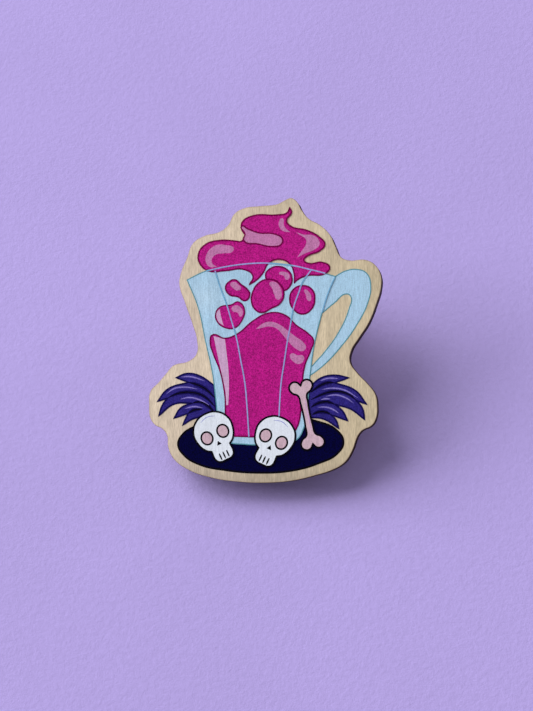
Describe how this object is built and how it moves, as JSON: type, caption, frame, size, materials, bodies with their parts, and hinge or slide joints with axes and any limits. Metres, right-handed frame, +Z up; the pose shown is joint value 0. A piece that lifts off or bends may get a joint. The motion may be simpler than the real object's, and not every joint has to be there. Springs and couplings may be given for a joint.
{
  "type": "printed wooden lapel pin",
  "caption": "Laser-cut plywood lapel pin shaped as a drinking glass on a tray with printed colour fields, a tack post on its back and a sliding butterfly clutch.",
  "frame": {"origin": "centre of the bounding box on the surface the pin lies on", "axes": "+Z up; +X to the right across the printed face; +Y away from the viewer, from the board's bottom edge towards its top edge"},
  "size_m": [0.0347, 0.0406, 0.0175],
  "materials": {
    "maple_face": "sanded, unvarnished",
    "ply_core": "laser-cut edge, charred",
    "maple_back": "sanded, unvarnished",
    "ink_navy": "satin UV print",
    "ink_indigo": "satin UV print",
    "ink_sky": "satin UV print",
    "ink_magenta": "satin UV print",
    "ink_rose": "satin UV print",
    "ink_chalk": "satin UV print",
    "ink_shell": "satin UV print",
    "foam_tape": "closed-cell foam tape",
    "nickel_plate": "nickel plated, stamped"
  },
  "bodies": {
    "badge": {"front_veneer": "maple_face", "core_ply": "ply_core", "back_veneer": "maple_back", "ink_tray": "ink_navy", "ink_handle": "ink_sky", "ink_plume_left": "ink_indigo", "ink_plume_right": "ink_indigo", "ink_glass": "ink_sky", "ink_drink": "ink_magenta", "ink_swirl": "ink_magenta", "ink_bubble_top": "ink_magenta", "ink_bubble_bean": "ink_magenta", "ink_bubble_low": "ink_magenta", "ink_bubble_right": "ink_magenta", "ink_bubble_large": "ink_magenta", "ink_fold": "ink_rose", "ink_skull_left": "ink_chalk", "ink_skull_right": "ink_chalk", "ink_bone": "ink_shell", "adhesive_pad": "foam_tape", "tack_disc": "nickel_plate", "tack_post": "nickel_plate"},
    "clutch": {"clutch_cup": "nickel_plate"},
    "spring": {"spring_plate": "nickel_plate"},
    "left_wing": {"wing_left": "nickel_plate"},
    "right_wing": {"wing_right": "nickel_plate"}
  },
  "joints": [
    {"name": "clutch_slide", "type": "slide", "parent": "badge", "child": "clutch", "axis": [0, 0.3486, -0.9373], "range_m": [-0.0009, 0.0064]},
    {"name": "clutch_turn", "type": "hinge", "parent": "clutch", "child": "spring", "pos_m": [0, 0.00463, 0.0062], "axis": [0, 0.3486, -0.9373], "continuous": true},
    {"name": "wing_right_squeeze", "type": "hinge", "parent": "spring", "child": "right_wing", "pos_m": [0.0024, 0.00557, 0.00367], "axis": [0, 0.9373, 0.3486], "range_deg": [0, 14], "stiffness_Nm_per_rad": 0.02},
    {"name": "wing_left_squeeze", "type": "hinge", "parent": "spring", "child": "left_wing", "pos_m": [-0.0024, 0.00557, 0.00367], "axis": [0, -0.9373, -0.3486], "range_deg": [0, 14], "stiffness_Nm_per_rad": 0.02}
  ],
  "couplings": [
    {"joint": "wing_left_squeeze", "follows": "wing_right_squeeze", "ratio": 1}
  ]
}
